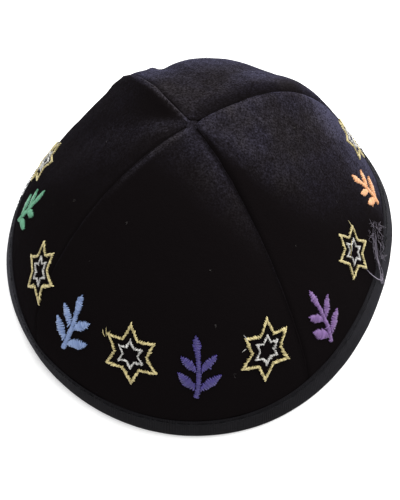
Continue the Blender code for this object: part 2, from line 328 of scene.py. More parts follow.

# %% [markdown]
# ## The velvet
# Near black where the pile is looked into, with a blue-violet bloom where its side shows. The shader's
# sheen alone can't give that bloom its place, so the bloom is painted sheen and painted light from the
# lamps, kept on the mesh as one attribute for how bright and one for how blue. A third attribute paints
# shade into the grooves beside the seams. The brushed patches and the grain break all of it up. The back
# of the cloth has no pile: it is a plain dark weave.

# %% Velvet
PILE_DARK = (0.0046, 0.0036, 0.0039)
# painted shade in the grooves beside the seams
PILE_SEAM_SHADE = (0.0034, 0.0027, 0.0029)
# painted sheen colours: plain, in patches, and blue
PILE_SHEEN = (0.0365, 0.0322, 0.0375)
PILE_SHEEN_PATCHED = (0.0352, 0.0322, 0.0480)
PILE_COOL_SHEEN = (0.0560, 0.0545, 0.0900)
BACK_DARK = (0.006, 0.006, 0.008)
BACK_BRIGHT = (0.018, 0.018, 0.022)

velvet, tree, shader = new_finish("black_velvet")
grain = placed(tree, pile_grain)
painted_sheen = painted(tree, "painted_sheen")
brushed = spread(tree, grain.outputs["Patches"], 0, 1, 0.20, 0.66)
brushed = combine(tree, "MULTIPLY", brushed, spread(tree, grain.outputs["Grain"], 0, 1, 0.0, 2.2))
lit = combine(tree, "MULTIPLY", painted_sheen, brushed)
# Painted glints on single fibre tips, wherever sheen is painted, that is where the pile isn't looked straight
# into
tips = spread(tree, grain.outputs["Grain"], 0.55, 1.0, 0, 0.16)
tips = combine(tree, "MULTIPLY", tips, spread(tree, painted_sheen, 0.02, 0.30))
lit = combine(tree, "ADD", lit, tips)
# the painted sheen's colour, bluer in some patches and where blue sheen is painted
sheen_patches = spread(tree, noise(tree, 60.0, shift=(5, 2, 1)), 0.38, 0.64)
bright = blend_colours(tree, sheen_patches, PILE_SHEEN, PILE_SHEEN_PATCHED)
bright = blend_colours(tree, painted(tree, "cool_sheen"), bright, PILE_COOL_SHEEN)
colour = blend_colours(tree, lit, PILE_DARK, bright)
# painted shade in the grooves beside the seams
colour = blend_colours(tree, painted(tree, "seam_shade"), colour, PILE_SEAM_SHADE)
plug(tree, colour, shader.inputs["Base Color"])
shader.inputs["Roughness"].default_value = 0.95
shader.inputs["IOR"].default_value = 1.08
shader.inputs["Specular IOR Level"].default_value = 0.05
shader.inputs["Sheen Weight"].default_value = 0.005
shader.inputs["Sheen Roughness"].default_value = 0.22
shader.inputs["Sheen Tint"].default_value = (0.55, 0.52, 0.85, 1)
raised(tree, shader, grain.outputs["Height"], 0.0006, 0.7)
print(velvet.name, "has", len(tree.nodes), "nodes")

backing, tree, shader = new_finish("velvet_backing")
weave = noise(tree, 2500.0, detail=1.0)
colour = blend_colours(tree, spread(tree, weave, 0.35, 0.65), BACK_DARK, BACK_BRIGHT)
plug(tree, colour, shader.inputs["Base Color"])
shader.inputs["Roughness"].default_value = 0.9
shader.inputs["Specular IOR Level"].default_value = 0.2
raised(tree, shader, weave, 0.0001)
print(backing.name, "has", len(tree.nodes), "nodes")

# %% [markdown]
# ## The seams' lines
# Two panels meet with a hair's gap between them. The points of both borders that face each other give
# the seam's line, once at the cloth's face and once at its back. Everything sewn along a seam uses it.

# %% Find the seams
SEAM_REACH = 0.00045
WALL = 0.0018


def corner_points(piece):
    """All points of a piece, as vectors."""
    return [vertex.co.copy() for vertex in piece.data.vertices]


def point_tree(points):
    """A search tree of points, numbered in their order."""
    tree = KDTree(len(points))
    for number, point in enumerate(points):
        tree.insert(point, number)
    tree.balance()
    return tree


panels = {name: merged_copy(name, name.replace("panel", "velvet")) for name in PANEL_NAMES}
seams = []
for index, first in enumerate(PANEL_NAMES):
    second = PANEL_NAMES[(index + 1) % len(PANEL_NAMES)]
    tree = point_tree(corner_points(panels[second]))
    middles = []
    for point in corner_points(panels[first]):
        other, number, gap = tree.find(point)
        if gap < SEAM_REACH:
            middles.append((point + other) / 2)
    middles.sort(key=lambda point: -point.length)
    face, back = [], []
    for point in middles:
        partner = min((p for p in middles if p is not point), key=lambda p: abs((p - point).length - WALL))
        (face if point.length > partner.length else back).append(point)
    face.sort(key=lambda point: point.z)
    back.sort(key=lambda point: point.z)
    seams.append((face, back))
    print(first, "to", second, "seam points:", len(face), len(back))

# %% [markdown]
# ## The panels
# Each gore is cut from velvet and its edges are turned in, so it rounds over beside the seam and leaves a
# soft groove. The copy is subdivided once with its borders creased, which keeps the cut's shape, and then
# twice with the creases let go, which rolls the border over within a few millimetres. Where a seam was
# pressed to one side, that side lies high and the other low. One small fold shows on the cap's outline,
# and a weak cloudy displacement keeps the cloth from looking moulded.

# %% How the panels' borders lie
CAP_MIDDLE = (0, 0, 0.02)
CLOTH_LIFT = 0.00035
LUMPS = 0.0007
SEAM_EDGES = {
    # panel, number of the seam: drop, its width, how much of it is gone down at the rim, swell, how far off
    ("front_panel", 0): (0.00055, 0.0022, 1.0, 0.00020, 0.0050),
    ("right_panel", 0): (0.00020, 0.0013, 1.0, 0.00035, 0.0030),
    ("right_panel", 1): (0.00005, 0.0010, 0.0, 0.00045, 0.0028),
    ("back_panel", 1): (0.00110, 0.0034, 0.0, 0.00010, 0.0070),
    ("back_panel", 2): (0.00060, 0.0026, 0.0, 0.00015, 0.0060),
    ("left_panel", 2): (0.00005, 0.0010, 0.0, 0.00040, 0.0026),
    ("left_panel", 3): (0.00045, 0.0022, 1.0, 0.00020, 0.0050),
    ("front_panel", 3): (0.00010, 0.0012, 1.0, 0.00035, 0.0028),
}
NO_EDGE = (0, 0.001, 0, 0, 0.004)
SWELL_WIDE = 0.0020
CROSSING_FLAT = 0.8       # the seams flatten where all four meet
CROSSING_WIDE = 0.007
EDGE_HOLD = 0.02          # a border keeps its form this far from the crossing, then loses it
EDGE_FADE = 0.03
WRINKLES = [
    # panel, x and z of its middle, half width, half height, rise: a ridge and the dip beside it
    ("back_panel", -0.0201, 0.0550, 0.0022, 0.0090, 0.0008),
    ("back_panel", -0.0162, 0.0550, 0.0022, 0.0090, -0.0013),
]
SEAM_STEPS = 8

crossing = np.mean([face[-1][:] for face, back in seams], axis=0)
print("seams cross in mm at:", np.round(crossing / MM, 1))


def read_vectors(items, field):
    """One vector of each point or face of a mesh, as rows of three numbers."""
    values = np.empty(len(items) * 3)
    items.foreach_get(field, values)
    return values.reshape(-1, 3)


def seam_distance(points, lines_sewn):
    """How far each point is from the nearest of these seam lines, and the number of that line."""
    lines, owners = [], []
    for number, (face, back) in enumerate(lines_sewn):
        for start, end in zip(face, face[1:]):
            for step in range(SEAM_STEPS):
                lines.append(start.lerp(end, step / SEAM_STEPS))
                owners.append(number)
    tree = point_tree(lines)
    found = [tree.find(point) for point in points]
    gaps = np.array([gap for place, number, gap in found])
    return gaps, np.array([owners[number] for place, number, gap in found])


def border_form(name, places, apart, lines, from_crossing):
    """How far the cloth rises at each point of a panel: its pressed borders and its fold."""
    edges = np.array([SEAM_EDGES.get((name, number), NO_EDGE) for number in range(len(seams))])
    drop, wide, gone, swell, away = edges[lines].T
    drop = drop * (1 - CROSSING_FLAT * np.exp(-((from_crossing / CROSSING_WIDE) ** 2)))
    left_over = 1 - gone * np.clip((from_crossing - EDGE_HOLD) / EDGE_FADE, 0, 1)
    drop, swell = drop * left_over, swell * left_over
    rise = swell * np.exp(-(((apart - away) / SWELL_WIDE) ** 2)) - drop * np.exp(-((apart / wide) ** 2))
    for owner, x, z, half_width, half_height, height in WRINKLES:
        if owner == name:
            fade = ((places[:, 0] - x) / half_width) ** 2 + ((places[:, 2] - z) / half_height) ** 2
            rise = rise + height * np.exp(-fade)
    return rise


# %% Shape the panels
lumps = bpy.data.textures.new("cloth_lumps", type="CLOUDS")
lumps.noise_scale = 0.016
lumps.noise_depth = 2


def roughen(piece, strength):
    """Move the cloth in and out a little, in soft lumps."""
    shape = piece.modifiers.new("lumps", "DISPLACE")
    shape.texture = lumps
    shape.texture_coords = "LOCAL"
    shape.strength = strength
    shape.mid_level = 0.5
    only(piece)
    bpy.ops.object.modifier_apply(modifier=shape.name)


cloth = {}
for name, piece in panels.items():
    crease_borders(piece, 1.0)
    smooth_levels(piece, 1)
    only(piece)
    bpy.ops.object.mode_set(mode="EDIT")
    bpy.ops.mesh.select_all(action="SELECT")
    bpy.ops.transform.edge_crease(value=-1.0)
    bpy.ops.object.mode_set(mode="OBJECT")
    smooth_levels(piece, 2)
    places = read_vectors(piece.data.vertices, "co")
    normals = read_vectors(piece.data.vertices, "normal")
    radial = places - np.array(CAP_MIDDLE)
    radial /= np.linalg.norm(radial, axis=1)[:, None]
    outer = np.clip((normals * radial).sum(axis=1), 0, 1)
    apart, lines = seam_distance(places, seams)
    from_crossing = np.linalg.norm(places - crossing, axis=1)
    rise = border_form(name, places, apart, lines, from_crossing)
    places += normals * (outer * (CLOTH_LIFT + rise))[:, None]
    piece.data.vertices.foreach_set("co", places.ravel())
    roughen(piece, LUMPS)
    cloth[name] = places, normals, apart, lines, from_crossing
    print(piece.name, "faces:", len(piece.data.polygons))

# %% [markdown]
# ## The pile's painted sheen
# Velvet is dark where its fibres point at the eye and light where they show their sides to the eye and the
# lamps. That sheen and light are painted: they are worked out from each point's normal and kept on the
# mesh, so they stay on the cap in every view and don't follow the camera or the lamps. The brushed
# patches in the shader break them up. They could be painted by hand.

# %% Where sheen is painted on the pile
SHEEN_WAYS = [
    # painted sheen: way that the cloth faces, from, full, strength, how blue
    ((0.30, 0.42, 0.86), 0.61, 0.91, 0.92, 0.0),
    ((0.80, 0.33, 0.50), 0.88, 0.99, 1.05, 0.9),
    ((0.05, 0.80, 0.59), 0.83, 0.99, 1.00, 1.0),
    ((-0.45, 0.40, 0.80), 0.84, 0.99, 0.40, 0.3),
]
PANEL_SHEEN = {"front_panel": 0.55, "right_panel": 0.93, "back_panel": 0.57, "left_panel": 0.5}
# Painted highlight along a seam's border where it was pressed up
RIDGE_HIGHLIGHTS = {
    # panel: number of the seam, strength, how far from the seam, how wide
    "front_panel": (3, 0.75, 0.0016, 0.0012),
    "left_panel": (2, 1.8, 0.0006, 0.0008),
    "right_panel": (1, 0.5, 0.0022, 0.0014),
}
HIGHLIGHT_LENGTH = 0.032
HIGHLIGHT_HOLD = 1.3
SEAM_SHADE_WIDTH = 0.0022      # how far painted shade reaches beside a seam
OTHER_SEAM_SHADES = {
    # panel and number of the seam: width of the painted shade
    ("back_panel", 1): 0.0085,
    ("right_panel", 1): 0.0008,
    ("back_panel", 2): 0.0030,
    ("left_panel", 2): 0.0003,
    ("front_panel", 3): 0.0006,
}
SEAM_SHADE_POWER = 0.7
CROSSING_LIT = 0.6        # how much of the painted seam shade is gone where the seams cross
INWARDS = -0.02


def sheen_from_facing(normals):
    """How much sheen is painted at each point from the way it faces, and how blue that sheen is."""
    total, cool_sheen = 0, 0
    for way, start, full, strength, blue in SHEEN_WAYS:
        facing = normals @ (np.array(way) / np.linalg.norm(way))
        share = np.clip((facing - start) / (full - start), 0, 1)
        share = share * share * (3 - 2 * share)
        total = total + strength * share
        cool_sheen = cool_sheen + blue * share
    return total, np.clip(cool_sheen, 0, 1)


def ridge_highlight(places, name):
    """The painted highlight along one seam of a panel, fading out down the wall."""
    if name not in RIDGE_HIGHLIGHTS:
        return 0.0
    number, strength, away, wide = RIDGE_HIGHLIGHTS[name]
    apart, lines = seam_distance(places, [seams[number]])
    upper_end = np.array(seams[number][0][-1][:])
    fade = np.clip(HIGHLIGHT_HOLD - np.linalg.norm(places - upper_end, axis=1) / HIGHLIGHT_LENGTH, 0, 1)
    return strength * fade * np.exp(-(((apart - away) / wide) ** 2))


def paint(piece, name, values):
    """Keep one value a point on the mesh."""
    layer = piece.data.attributes.new(name, "FLOAT", "POINT")
    layer.data.foreach_set("value", np.asarray(values, dtype=np.float32))


# %% Paint the panels
for name, piece in panels.items():
    places, normals, apart, lines, from_crossing = cloth[name]
    side_light, cool_sheen = sheen_from_facing(normals)
    paint(piece, "painted_sheen", side_light * PANEL_SHEEN[name] + ridge_highlight(places, name))
    paint(piece, "cool_sheen", cool_sheen)
    # painted shade in the grooves beside the seams, less where they cross
    lit_crossing = CROSSING_LIT * np.exp(-((from_crossing / CROSSING_WIDE) ** 2))
    seam_shade_widths = np.array([OTHER_SEAM_SHADES.get((name, number), SEAM_SHADE_WIDTH) for number in range(len(seams))])
    paint(piece, "seam_shade", np.clip(1 - apart / seam_shade_widths[lines], 0, 1) ** SEAM_SHADE_POWER * (1 - lit_crossing))
    mesh = piece.data
    mesh.materials.append(velvet)
    mesh.materials.append(backing)
    centres = read_vectors(mesh.polygons, "center") - np.array(CAP_MIDDLE)
    inwards = (centres * read_vectors(mesh.polygons, "normal")).sum(axis=1) < INWARDS
    mesh.polygons.foreach_set("material_index", inwards.astype(np.int32))
    finish_piece(piece, "velvet", name)
    print(piece.name, "faces with pile:", int((~inwards).sum()), "without:", int(inwards.sum()))

# %% [markdown]
# ## The crossing
# Four turned-in corners meet at the crown and leave a small bulge of cloth. A flat cap of the same velvet,
# made from a sphere and sunk into the cloth, closes the place where the rolls of the seams end.

# %% Where the seams cross
KNOT_RADIUS = 0.0026
KNOT_FLATNESS = 0.32
KNOT_SINK = 0.0005
KNOT_UP = 0.06            # it leans as the cloth does there
KNOT_SHEEN = 0.5

bpy.ops.object.select_all(action="DESELECT")
bpy.ops.mesh.primitive_uv_sphere_add(segments=24, ring_count=12, radius=KNOT_RADIUS)
knot = bpy.context.object
knot.name = knot.data.name = "crown_knot"
lean = Vector((crossing[0], crossing[1], KNOT_UP)).normalized()
knot.scale = (1, 1, KNOT_FLATNESS)
knot.rotation_euler = lean.to_track_quat("Z", "Y").to_euler()
knot.location = Vector(crossing) - Vector((0, 0, KNOT_SINK))
bpy.ops.object.transform_apply(location=True, rotation=True, scale=True)
# an even painted sheen over the whole knot
paint(knot, "painted_sheen", np.full(len(knot.data.vertices), KNOT_SHEEN))
knot.data.materials.append(velvet)
finish_piece(knot, "velvet")
print(knot.name, "faces:", len(knot.data.polygons))

# %% [markdown]
# ## Seam rolls and allowances
# The turned edges press against each other just under the face: a thin roll of the same velvet closes
# each seam, so it reads as a soft fold. Behind it the edges are folded back and lie open on the inside.
# Both are skins over rings of corners that follow the seam's line: round rings for the roll, and flat
# ones for the allowance, whose two edges are laid on the back of the cloth.

# %% Skins along a seam


def new_piece(name, data, finish):
    """A piece made of this mesh, in one finish."""
    piece = bpy.data.objects.new(name, data)
    bpy.context.collection.objects.link(piece)
    data.materials.append(finish)
    return piece


def rings_along(line, face, back, outline):
    """Rings of corners along a seam: outline gives one ring from its place, sideways and down."""
    rings = []
    for index, (outside, inside) in enumerate(zip(face, back)):
        ahead = line[min(index + 1, len(line) - 1)] - line[max(index - 1, 0)]
        down = (inside - outside).normalized()
        side = ahead.cross(down).normalized()
        rings.append(outline(line[index], side, down))
    return rings


def skin_over(name, rings, finish):
    """A piece whose skin joins the rings, closed at both ends."""
    mesh = bmesh.new()
    rings = [[mesh.verts.new(corner) for corner in ring] for ring in rings]
    for ring, following in zip(rings, rings[1:]):
        for index in range(len(ring)):
            after = (index + 1) % len(ring)
            mesh.faces.new((ring[index], following[index], following[after], ring[after]))
    mesh.faces.new(rings[0])
    mesh.faces.new(reversed(rings[-1]))
    bmesh.ops.recalc_face_normals(mesh, faces=mesh.faces)
    data = bpy.data.meshes.new(name)
    mesh.to_mesh(data)
    mesh.free()
    return new_piece(name, data, finish)


# %% Seam rolls
ROLL_RADIUS = 0.00060
ROLL_SIDES = 10
ROLL_SINKS = [0.00055, 0.00095, 0.00045, 0.00055]    # in the order of the seams
ROLL_SHEENS = [0.12, 0.12, 1.6, 0.12]                  # painted sheen; the left and back seam gets a painted highlight
ROLL_SHEEN_HEIGHTS = (0.030, 0.050)                          # the painted sheen fades out down the wall, between these heights


def round_ring(sink):
    """The outline of a round roll, this deep under the seam's face."""
    turns = [math.tau * corner / ROLL_SIDES for corner in range(ROLL_SIDES)]

    def outline(place, side, down):
        middle = place + down * sink
        return [middle + (side * math.cos(turn) + down * math.sin(turn)) * ROLL_RADIUS for turn in turns]
    return outline


for index, (face, back) in enumerate(seams):
    rings = rings_along(face, face, back, round_ring(ROLL_SINKS[index]))
    roll = skin_over(f"seam_roll_{index + 1}", rings, velvet)
    heights = read_vectors(roll.data.vertices, "co")[:, 2]
    # painted sheen, none low on the wall and full higher up
    paint(roll, "painted_sheen", ROLL_SHEENS[index] * np.interp(heights, ROLL_SHEEN_HEIGHTS, (0, 1)))
    finish_piece(roll, "velvet")
    print(roll.name, "faces:", len(roll.data.polygons))

# %% Seam allowances
STRIP_HALF = 0.0034
STRIP_THICK = 0.0005
STRIP_LIFT = 0.0001       # each lies this much deeper than the last, so they pass over each other
STRIP_RISE = 0.0024       # the most that an edge may lie in from the seam's back line
PROBE = 0.02
STRIP_CORNERS = [
    # across in half widths, in from the cloth in thicknesses
    (-1, 0), (0, -0.25), (1, 0), (1, 1), (0, 0.75), (-1, 1),
]


def surface_tree(piece):
    """A search tree of a piece's faces, for rays."""
    corners = [vertex.co for vertex in piece.data.vertices]
    return BVHTree.FromPolygons(corners, [polygon.vertices[:] for polygon in piece.data.polygons])


def back_height(place, down):
    """How far the cloth's back bulges inwards at a place beside a seam's back line."""
    hits = [tree.ray_cast(place + down * PROBE, -down, PROBE) for tree in panel_trees]
    heights = [PROBE - hit[3] for hit in hits if hit[0] is not None]
    return min(max(heights, default=0.0), STRIP_RISE)


def flat_ring(lift):
    """The outline of a flat strip whose two edges lie on the cloth's back."""
    def outline(place, side, down):
        rises = {across: back_height(place + side * across * STRIP_HALF, down) for across in (-1, 1)}
        rises[0] = 0.0
        middle = place + down * lift
        return [
            middle + side * across * STRIP_HALF + down * (rises[across] + deep * STRIP_THICK)
            for across, deep in STRIP_CORNERS
        ]
    return outline


panel_trees = [surface_tree(piece) for piece in panels.values()]
for index, (face, back) in enumerate(seams):
    rings = rings_along(back, face, back, flat_ring(STRIP_LIFT * (index + 1)))
    strip = skin_over(f"seam_allowance_{index + 1}", rings, backing)
    finish_piece(strip, "velvet")
    print(strip.name, "faces:", len(strip.data.polygons))

# %% [markdown]
# ## The rim tape
# A ribbed tape is folded over the raw edge and sewn through. Its ribs run across it, about one to a
# millimetre, so the pattern needs a length round the rim. That length is laid out as a UV map: u counts
# millimetres round the rim and v counts them across the tape.

# %% Tape finish
TAPE_RIB = 1.0            # both in millimetres, as the UV map is
TAPE_THREAD = 0.35
TAPE_DARK = (0.0038, 0.0034, 0.0042)
TAPE_BRIGHT = (0.0130, 0.0116, 0.0138)
TAPE_WORN = (0.0120, 0.0118, 0.0145)
# the colour of the painted sheen
TAPE_SHEEN = (0.078, 0.079, 0.104)
TAPE_FUZZ = (0.0022, 0.0020, 0.0026)


def waves(tree, place, length):
    """Waves of this length along one coordinate, from 0 to 1."""
    turn = combine(tree, "MULTIPLY", place, math.tau / length)
    return spread(tree, combine(tree, "SINE", turn, 0.0), -1, 1)


tape, tree, shader = new_finish("ribbed_tape")
layout = tree.nodes.new("ShaderNodeUVMap")
layout.uv_map = "cloth"
parts = tree.nodes.new("ShaderNodeSeparateXYZ")
plug(tree, layout.outputs["UV"], parts.inputs["Vector"])
ribs = waves(tree, parts.outputs["X"], TAPE_RIB)
threads = waves(tree, parts.outputs["Y"], TAPE_THREAD)
wear = spread(tree, noise(tree, 120.0, detail=4.0), 0.35, 0.65)
fuzz = spread(tree, noise(tree, 1400.0, detail=2.0), 0.35, 0.65)
# painted sheen on the tape's sides, broken up by wear
tape_sheen_share = combine(tree, "MULTIPLY", painted(tree, "painted_sheen"), spread(tree, wear, 0, 1, 0.6, 1.0))
colour = blend_colours(tree, combine(tree, "MULTIPLY", ribs, 0.7), TAPE_DARK, TAPE_BRIGHT)
colour = blend_colours(tree, combine(tree, "MULTIPLY", wear, 0.30), colour, TAPE_WORN)
colour = blend_colours(tree, tape_sheen_share, colour, TAPE_SHEEN)
colour = blend_colours(tree, combine(tree, "MULTIPLY", fuzz, 0.40), colour, TAPE_FUZZ)
plug(tree, colour, shader.inputs["Base Color"])
shader.inputs["Roughness"].default_value = 0.85
shader.inputs["Specular IOR Level"].default_value = 0.06
shader.inputs["Sheen Weight"].default_value = 0.02
shader.inputs["Sheen Roughness"].default_value = 0.25
shader.inputs["Sheen Tint"].default_value = (0.75, 0.78, 1.0, 1)
raised(tree, shader, weighted(tree, ribs, 0.75, threads, 0.25), 0.00012, 0.8)
print(tape.name, "has", len(tree.nodes), "nodes")

# %% The length round the rim
RIM_BAND = 0.008          # the tape's points above this height give the rim's outline
RIM_STEPS = 720


def angle_round(point):
    """A point's angle round the cap, from 0 to 1 turn."""
    return (math.atan2(point.y, point.x) / math.tau) % 1.0


def rim_lengths():
    """Length round the rim in millimetres at each whole share of a turn, read off the CAD tape."""
    band = [v.co for v in frame["nodes"]["rim_binding"].data.vertices if v.co.z > RIM_BAND]
    turns = np.array([angle_round(point) for point in band])
    reach = np.array([point.to_2d().length for point in band])
    order = np.argsort(turns)
    shares = np.linspace(0, 1, RIM_STEPS + 1)
    radii = np.interp(shares, turns[order], reach[order], period=1.0)
    points = np.stack([radii * np.cos(shares * math.tau), radii * np.sin(shares * math.tau)], axis=1)
    steps = np.linalg.norm(np.diff(points, axis=0), axis=1)
    return shares, np.concatenate([[0], np.cumsum(steps)]) / MM


shares, lengths = rim_lengths()
print("length round the rim in mm:", round(lengths[-1]))

# %% Tape
TAPE_LUMPS = 0.0004
TAPE_SHEEN_RIGHT = 0.32    # painted sheen on the two sides, strongest where the tape faces straight sideways
TAPE_SHEEN_LEFT = 0.5
TAPE_SHEEN_POWER = 5

binding = merged_copy("rim_binding", "rim_tape")
smooth_levels(binding, 2)
roughen(binding, TAPE_LUMPS)
for layer in list(binding.data.uv_layers):
    binding.data.uv_layers.remove(layer)
layer = binding.data.uv_layers.new(name="cloth")
for polygon in binding.data.polygons:
    middle = angle_round(polygon.center)
    for loop in polygon.loop_indices:
        point = binding.data.vertices[binding.data.loops[loop].vertex_index].co
        share = angle_round(point)
        share += round(middle - share)
        length = np.interp(share % 1.0, shares, lengths) + math.floor(share) * lengths[-1]
        layer.data[loop].uv = (length, point.z / MM)
binding.data.materials.append(tape)
# painted sheen, from the way each point faces sideways
across = read_vectors(binding.data.vertices, "normal")[:, 0]
sides = np.where(across > 0, TAPE_SHEEN_RIGHT, TAPE_SHEEN_LEFT)
paint(binding, "painted_sheen", sides * np.abs(across) ** TAPE_SHEEN_POWER)
finish_piece(binding, "rim_tape", "rim_binding")
print("tape faces:", len(binding.data.polygons))

# %% [markdown]
# ## One thread
# All sewing and embroidery here is thread. A thread could be a curve with a round section, but thousands
# of them are lighter as copies of one short cylinder, cut into parts so that it can bend along a path.

# %% One thread, modelled once
EDGE_GLINT = 0.35    # painted glint: a thread is drawn brightest where it turns down into the cloth
FLATTENED = 0.8      # its height as a share of its width
NARROWED = 0.55      # how much of its width is gone at its ends


def thread_form(sides, parts):
    """A thread of length 1 along X and thickness 1: its points and its faces."""
    bpy.ops.object.select_all(action="DESELECT")
    bpy.ops.mesh.primitive_cylinder_add(
        vertices=sides, radius=0.5, depth=1, end_fill_type="TRIFAN", rotation=(0, math.pi / 2, 0)
    )
    form = bpy.context.object
    bpy.ops.object.transform_apply(location=False, rotation=True, scale=False)
    for cut in range(1, parts):
        bpy.ops.object.mode_set(mode="EDIT")
        bpy.ops.mesh.select_all(action="SELECT")
        bpy.ops.mesh.bisect(plane_co=(cut / parts - 0.5, 0, 0), plane_no=(1, 0, 0))
        bpy.ops.object.mode_set(mode="OBJECT")
    points = np.array([vertex.co[:] for vertex in form.data.vertices])
    faces = [list(polygon.vertices) for polygon in form.data.polygons]
    bpy.data.objects.remove(form)
    return points, faces


satin_points, satin_faces = thread_form(5, 4)
print("one thread:", len(satin_points), "points,", len(satin_faces), "faces")


class ThreadWork:
    """Threads laid one by one, then made into one mesh."""

    def __init__(self):
        self.points = []
        self.faces = []
        self.shades = []
        self.count = 0

    def add(self, spots, faces, shades):
        """Keep one thread's points, faces and shades."""
        self.points.append(spots)
        self.faces.extend([[self.count + corner for corner in face] for face in faces])
        self.shades.extend(shades)
        self.count += len(spots)

    def lay(self, path, up, width, shade):
        """Lay one thread along a path of five points, flattened a little against the cloth."""
        path = np.array(path)
        along = satin_points[:, 0] + 0.5
        stops = np.linspace(0, 1, len(path))
        spots = np.stack([np.interp(along, stops, path[:, axis]) for axis in range(3)], axis=1)
        way = path[-1] - path[0]
        way /= np.linalg.norm(way)
        side = np.cross(up, way)
        side /= np.linalg.norm(side)
        taper = 1 - NARROWED * np.abs(2 * along - 1) ** 4
        spots += side * (satin_points[:, 1] * width * taper)[:, None]
        spots += np.array(up) * (satin_points[:, 2] * width * FLATTENED * taper)[:, None]
        shades = np.clip(shade + EDGE_GLINT * np.abs(2 * along - 1) ** 3, 0, 1.3)
        self.add(spots, satin_faces, shades.tolist())

    def piece(self, name, finish):
        """Make the mesh of all threads laid."""
        data = bpy.data.meshes.new(name)
        data.from_pydata(np.concatenate(self.points).tolist(), [], self.faces)
        piece = new_piece(name, data, finish)
        paint(piece, "shade", self.shades)
        only(piece)
        bpy.ops.object.mode_set(mode="EDIT")
        bpy.ops.mesh.select_all(action="SELECT")
        bpy.ops.mesh.normals_make_consistent(inside=False)
        bpy.ops.mesh.select_all(action="DESELECT")
        bpy.ops.object.mode_set(mode="OBJECT")
        return piece


# %% [markdown]
# ## Thread finishes
# Embroidery thread is smooth and shiny. Each stitch keeps a shade of its own, as an attribute, because
# threads catch the light one by one, and fine noise breaks the shine along each of them. All threads
# share these in one group, and each colour adds its two tones.

# %% Group: thread shine
thread_shine, shine_in, shine_out = new_group(
    "thread_shine", [("Shade", 0.5), ("Gloss", 0.38)], ["Tone", "Roughness", "Height"]
)
shade_in = shine_in.outputs["Shade"]
tone = weighted(thread_shine, shade_in, 0.7, noise(thread_shine, 2500.0, detail=1.0), 0.3)
duller = spread(thread_shine, shade_in, 0, 1, 0.12, -0.06)
plug(thread_shine, tone, shine_out.inputs["Tone"])
duller = combine(thread_shine, "ADD", shine_in.outputs["Gloss"], duller)
plug(thread_shine, duller, shine_out.inputs["Roughness"])
plug(thread_shine, noise(thread_shine, 3500.0, detail=1.0), shine_out.inputs["Height"])
print("group", thread_shine.name, "has", len(thread_shine.nodes), "nodes")

# %% Thread finishes
THREADS = {
    # slot: dark tone, bright tone
    "gold_thread": ((0.17, 0.13, 0.04), (0.78, 0.67, 0.32)),
    "silver_thread": ((0.13, 0.125, 0.12), (0.76, 0.75, 0.71)),
    "indigo_thread": ((0.016, 0.009, 0.10), (0.056, 0.038, 0.22)),
    "light_blue_thread": ((0.10, 0.16, 0.34), (0.25, 0.34, 0.56)),
    "violet_thread": ((0.09, 0.036, 0.15), (0.23, 0.12, 0.34)),
    "green_thread": ((0.04, 0.20, 0.10), (0.14, 0.42, 0.26)),
    "orange_thread": ((0.48, 0.19, 0.06), (0.88, 0.46, 0.22)),
}
SEWING_TONES = ((0.003, 0.003, 0.004), (0.009, 0.009, 0.011))


def thread_finish(name, dark, bright, gloss=0.38, specular=0.6):
    """One colour of thread, from its shaded to its bright tone; a low gloss number shines more."""
    finish, tree, shader = new_finish(name)
    shine = placed(tree, thread_shine)
    shine.inputs["Gloss"].default_value = gloss
    plug(tree, painted(tree, "shade"), shine.inputs["Shade"])
    plug(tree, blend_colours(tree, shine.outputs["Tone"], dark, bright), shader.inputs["Base Color"])
    plug(tree, shine.outputs["Roughness"], shader.inputs["Roughness"])
    shader.inputs["Specular IOR Level"].default_value = specular
    raised(tree, shader, shine.outputs["Height"], 0.00006, 0.6)
    return finish


thread_finishes = {slot: thread_finish(slot, *tones) for slot, tones in THREADS.items()}
dark_thread = thread_finish("dark_thread", *SEWING_TONES, gloss=0.8, specular=0.12)
print("thread finishes:", len(thread_finishes) + 1)

# %% [markdown]
# ## Stitches along the tape
# The tape is held by a row of small dark stitches near its upper edge. Each is one thread that dips into
# the tape at both ends. They are placed by the same length round the rim as the ribs, so the row keeps
# its pitch all the way round.

# %% Rim stitches
RIM_STITCH = 2.0          # from one to the next, in millimetres
STITCH_LENGTH = 0.0015
STITCH_WIDTH = 0.00042
TAPE_TOP = 0.0090
STITCH_DROP = 0.0011
STITCH_STRAY = 0.00008
TOP_BAND = (0.0070, 0.0084)
NEAR_TURN = 0.004
STITCH_PROFILE = [
    # along in half lengths, out from the tape
    (-1, -0.0003), (-0.6, 0.00008), (0, 0.0001), (0.6, 0.00008), (1, -0.0003),
]

dice = np.random.default_rng(7)
outer_top = [v.co.copy() for v in binding.data.vertices if TOP_BAND[0] < v.co.z < TOP_BAND[1]]
turns = np.array([angle_round(point) for point in outer_top])
reach = np.array([point.to_2d().length for point in outer_top])


def tape_radius(share):
    """The tape's outer radius at a share of a turn, near its upper edge."""
    near = np.abs((turns - share + 0.5) % 1.0 - 0.5) < NEAR_TURN
    return reach[near].max()


rim_work = ThreadWork()
for number in range(int(lengths[-1] / RIM_STITCH)):
    share = float(np.interp((number + 0.5) * RIM_STITCH, lengths, shares))
    angle = share * math.tau
    out = np.array([math.cos(angle), math.sin(angle), 0.0])
    along = np.array([-math.sin(angle), math.cos(angle), 0.0])
    level = TAPE_TOP - STITCH_DROP + dice.normal(0, STITCH_STRAY)
    middle = out * tape_radius(share) + np.array([0, 0, level])
    half = along * STITCH_LENGTH / 2
    path = [middle + half * far + out * rise for far, rise in STITCH_PROFILE]
    rim_work.lay(path, out, STITCH_WIDTH, dice.uniform(0.3, 1.0))
rim_stitches = rim_work.piece("rim_stitches", dark_thread)
finish_piece(rim_stitches, "rim_tape")
print("rim stitches:", len(rim_work.points))

